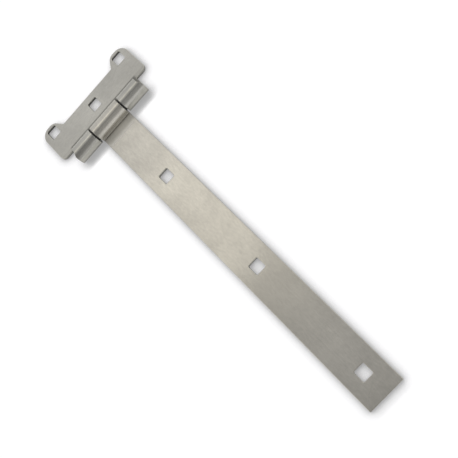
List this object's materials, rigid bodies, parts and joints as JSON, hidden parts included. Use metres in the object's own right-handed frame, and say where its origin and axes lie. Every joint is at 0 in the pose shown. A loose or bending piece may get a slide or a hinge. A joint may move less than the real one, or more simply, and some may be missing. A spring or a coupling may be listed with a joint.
{
  "type": "tee hinge",
  "caption": "Cross-shaped surface hinge: a short lobed plate and a long straight band with square bolt holes, joined by rolled knuckles on a steel pin.",
  "frame": {"origin": "straight under the pin's axis, in the plane of the flat backs, midway along the pin", "axes": "+X along the band to its free end, +Y along the pin, +Z out of the front faces on which the knuckles stand"},
  "size_m": [0.3309, 0.1, 0.0152],
  "materials": {
    "plate_steel": "satin, zinc plated",
    "band_steel": "satin, zinc plated",
    "pin_steel": "plain drawn steel"
  },
  "bodies": {
    "cross_plate": {"hinge_plate": "plate_steel", "hinge_pin": "pin_steel"},
    "swinging_band": {"band": "band_steel"}
  },
  "joints": [
    {"name": "band_swing", "type": "hinge", "parent": "cross_plate", "child": "swinging_band", "pos_m": [0, 0, 0.00758], "axis": [0, -1, 0], "range_deg": [-105, 193]}
  ]
}
